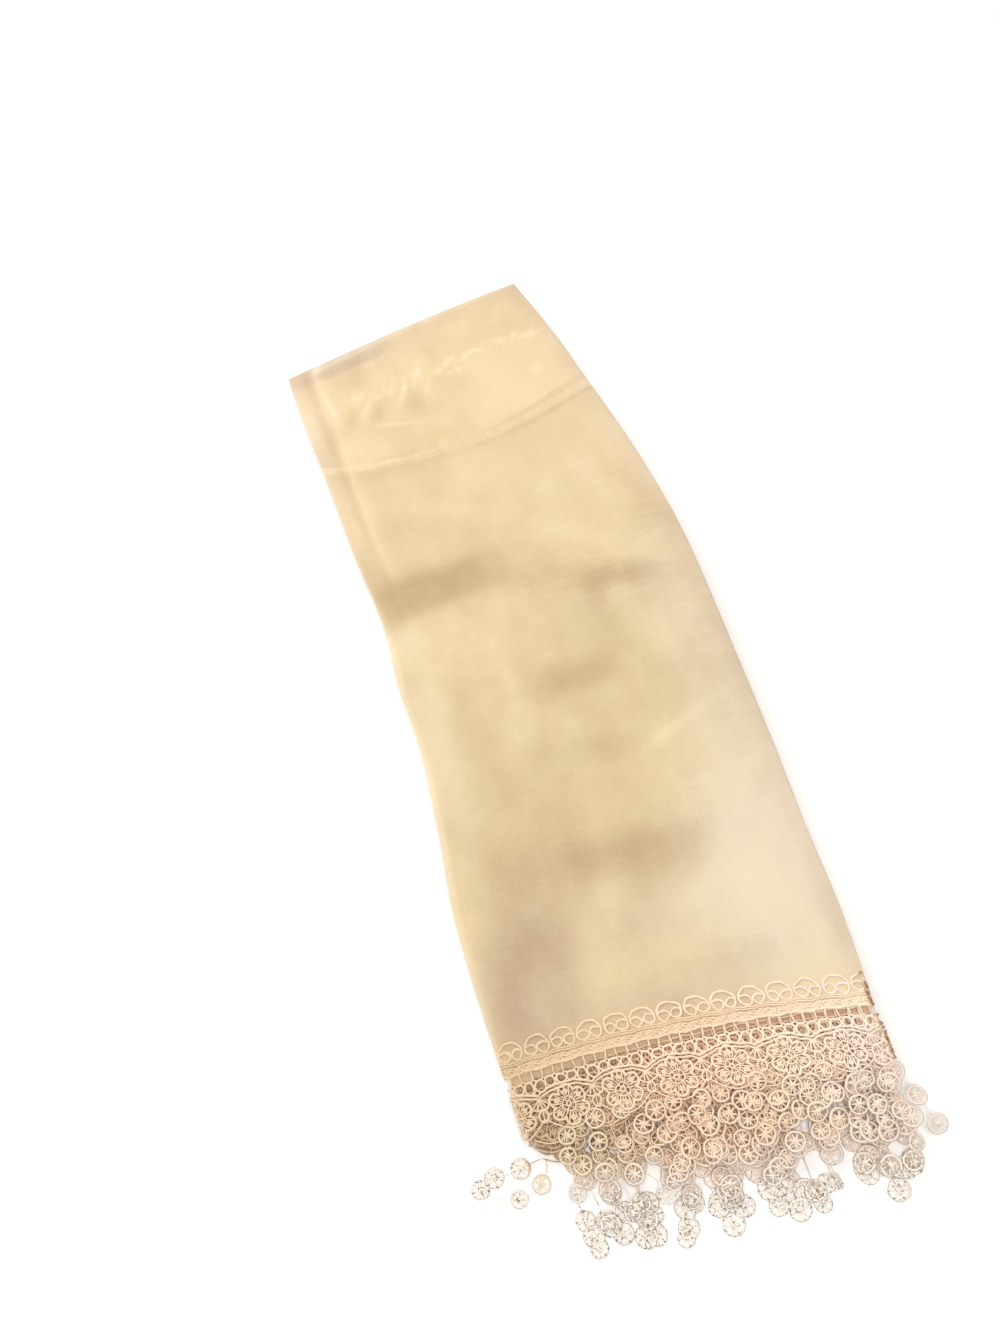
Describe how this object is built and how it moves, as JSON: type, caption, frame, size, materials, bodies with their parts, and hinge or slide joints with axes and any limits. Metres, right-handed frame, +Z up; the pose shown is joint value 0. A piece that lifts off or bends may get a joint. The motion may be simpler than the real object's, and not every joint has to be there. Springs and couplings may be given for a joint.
{
  "type": "window valance",
  "caption": "Sheer cream window valance with a rod-pocket heading and a lace hem with hanging wheels, folded lengthwise and lying flat.",
  "frame": {"origin": "on the floor face, under the middle of the folded strip", "axes": "+Y along the strip towards the heading, +X across it towards the top layer's fold, +Z up from the floor"},
  "size_m": [0.2208, 0.5828, 0.0162],
  "materials": {
    "voile": "sheer plain-woven voile, cream, with a faint sheen",
    "lace": "corded ecru lace, matt with small bright threads",
    "fringe": "ecru lace wheels on thin threads, matt"
  },
  "bodies": {
    "root": {"valance_cloth": "voile", "lace_hem": "lace", "fringe_1": "fringe", "fringe_2": "fringe", "fringe_3": "fringe", "fringe_4": "fringe", "fringe_5": "fringe", "fringe_6": "fringe", "fringe_7": "fringe"}
  },
  "joints": []
}
